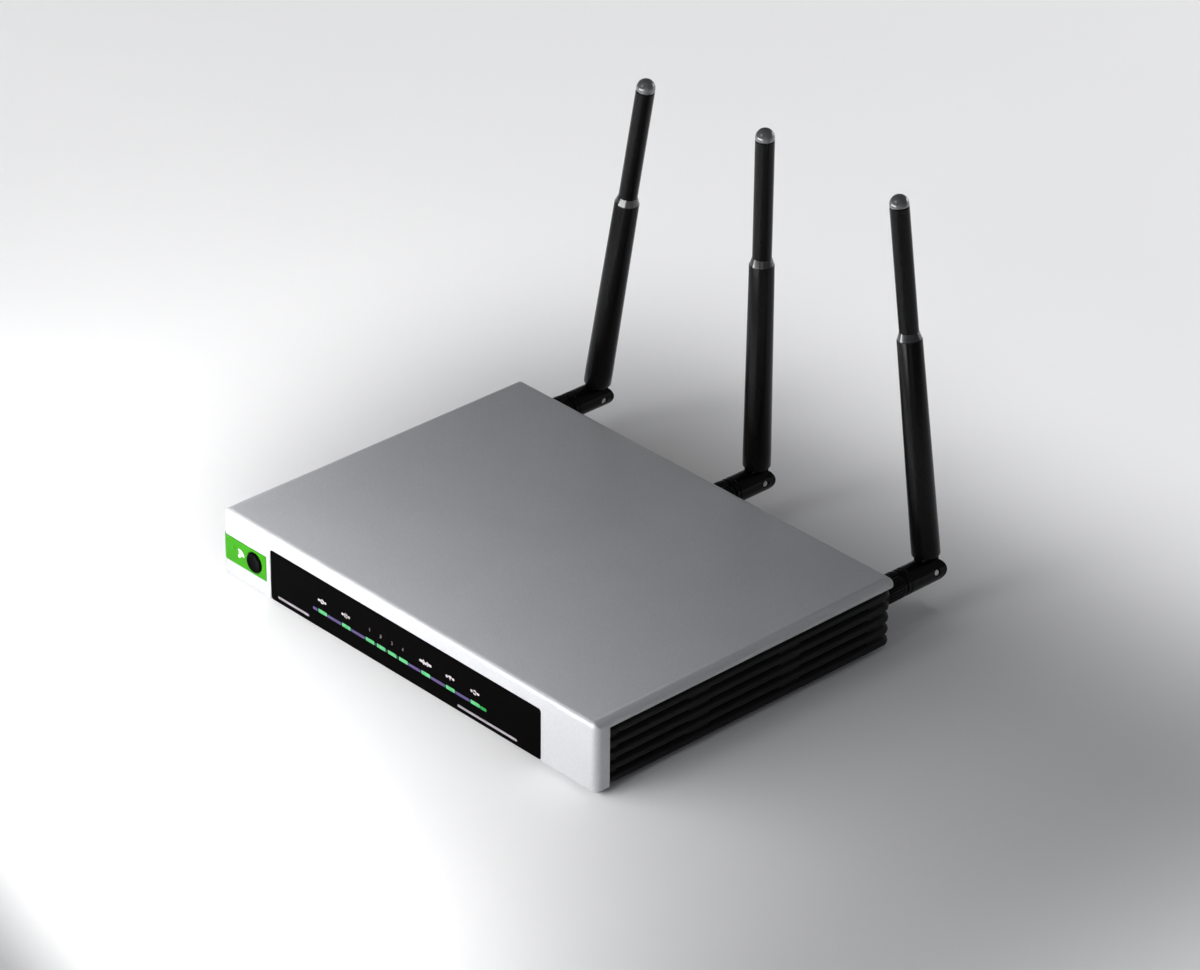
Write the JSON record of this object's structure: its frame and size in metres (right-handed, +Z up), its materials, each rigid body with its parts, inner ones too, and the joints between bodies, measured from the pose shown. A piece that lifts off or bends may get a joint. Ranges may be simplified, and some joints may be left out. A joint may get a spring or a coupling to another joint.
{
  "type": "wireless router",
  "caption": "Flat home wireless router with a white top cover, black glossy status window, ribbed black sides, rear sockets and hinged stick antennas.",
  "frame": {"origin": "bottom centre of the whole object's bounding box, on the plane that the feet stand on", "axes": "+Z up; +Y towards the rear, where the sockets and antennas are; +X towards the right as seen from the front, along the case's width"},
  "size_m": [0.2, 0.1798, 0.1604],
  "materials": {
    "cover_white": "satin silver-white",
    "case_black": "fine matt",
    "window_black": "high gloss",
    "light_green": "translucent, lit",
    "badge_green": "gloss",
    "button_black": "gloss",
    "label_silver": "matt film",
    "board_green": "solder mask",
    "port_yellow": "moulded",
    "port_blue": "moulded",
    "socket_steel": "plated",
    "socket_black": "moulded",
    "chip_black": "moulded",
    "heatsink_aluminium": "extruded",
    "shield_tin": "plated",
    "capacitor_blue": "sleeved",
    "screw_steel": "plated",
    "foot_rubber": "matt",
    "brass_gold": "plated",
    "antenna_black": "gloss",
    "lead_grey": "smooth jacket"
  },
  "bodies": {
    "case": {"top_cover": "cover_white", "bottom_case": "case_black", "front_window": "window_black", "light_guide": "light_green", "badge_plate": "badge_green", "underside_label": "label_silver", "main_board": "board_green", "lan_jack_block": "port_yellow", "wan_jack": "port_blue", "usb_socket": "socket_steel", "power_socket": "socket_black", "pairing_switch": "socket_black", "reset_switch": "socket_black", "processor": "chip_black", "memory_chip": "chip_black", "flash_chip": "chip_black", "network_switch_chip": "chip_black", "lan_transformer": "chip_black", "wan_transformer": "chip_black", "power_inductor": "chip_black", "processor_heatsink": "heatsink_aluminium", "radio_shield": "shield_tin", "filter_capacitor_a": "capacitor_blue", "filter_capacitor_b": "capacitor_blue", "case_screw_front_left": "screw_steel", "foot_front_left": "foot_rubber", "case_screw_front_right": "screw_steel", "foot_front_right": "foot_rubber", "case_screw_rear_left": "screw_steel", "foot_rear_left": "foot_rubber", "case_screw_rear_right": "screw_steel", "foot_rear_right": "foot_rubber", "antenna_jack_left": "brass_gold", "jack_nut_left": "brass_gold", "antenna_collar_left": "antenna_black", "antenna_lead_left": "lead_grey", "antenna_jack_middle": "brass_gold", "jack_nut_middle": "brass_gold", "antenna_collar_middle": "antenna_black", "antenna_lead_middle": "lead_grey", "antenna_jack_right": "brass_gold", "jack_nut_right": "brass_gold", "antenna_collar_right": "antenna_black", "antenna_lead_right": "lead_grey"},
    "pairing_button": {"pairing_button": "button_black"},
    "reset_button": {"reset_button": "button_black"},
    "left_knuckle": {"antenna_knuckle_left": "antenna_black", "hinge_pin_left": "screw_steel"},
    "left_whip": {"antenna_whip_left": "antenna_black", "antenna_radiator_left": "brass_gold"},
    "middle_knuckle": {"antenna_knuckle_middle": "antenna_black", "hinge_pin_middle": "screw_steel"},
    "middle_whip": {"antenna_whip_middle": "antenna_black", "antenna_radiator_middle": "brass_gold"},
    "right_knuckle": {"antenna_knuckle_right": "antenna_black", "hinge_pin_right": "screw_steel"},
    "right_whip": {"antenna_whip_right": "antenna_black", "antenna_radiator_right": "brass_gold"}
  },
  "joints": [
    {"name": "left_swivel", "type": "hinge", "parent": "case", "child": "left_knuckle", "pos_m": [-0.088, 0.05605, 0.016], "axis": [0, 1, 0], "range_deg": [-100.6, 17.4]},
    {"name": "left_tilt", "type": "hinge", "parent": "left_knuckle", "child": "left_whip", "pos_m": [-0.088, 0.08455, 0.016], "axis": [-0.9829, 0, 0.184], "range_deg": [0, 90]},
    {"name": "middle_swivel", "type": "hinge", "parent": "case", "child": "middle_knuckle", "pos_m": [0, 0.05605, 0.016], "axis": [0, 1, 0], "range_deg": [-22, 22]},
    {"name": "middle_tilt", "type": "hinge", "parent": "middle_knuckle", "child": "middle_whip", "pos_m": [0, 0.08455, 0.016], "axis": [-1, 0, 0], "range_deg": [0, 90]},
    {"name": "right_swivel", "type": "hinge", "parent": "case", "child": "right_knuckle", "pos_m": [0.088, 0.05605, 0.016], "axis": [0, 1, 0], "range_deg": [-19.4, 98.6]},
    {"name": "right_tilt", "type": "hinge", "parent": "right_knuckle", "child": "right_whip", "pos_m": [0.088, 0.08455, 0.016], "axis": [-0.9888, 0, -0.1495], "range_deg": [0, 90]},
    {"name": "pairing_press", "type": "slide", "parent": "case", "child": "pairing_button", "axis": [0, 1, 0], "range_m": [0, 0.0008], "stiffness_N_per_m": 300},
    {"name": "reset_press", "type": "slide", "parent": "case", "child": "reset_button", "axis": [0, -1, 0], "range_m": [0, 0.0005], "stiffness_N_per_m": 300}
  ]
}
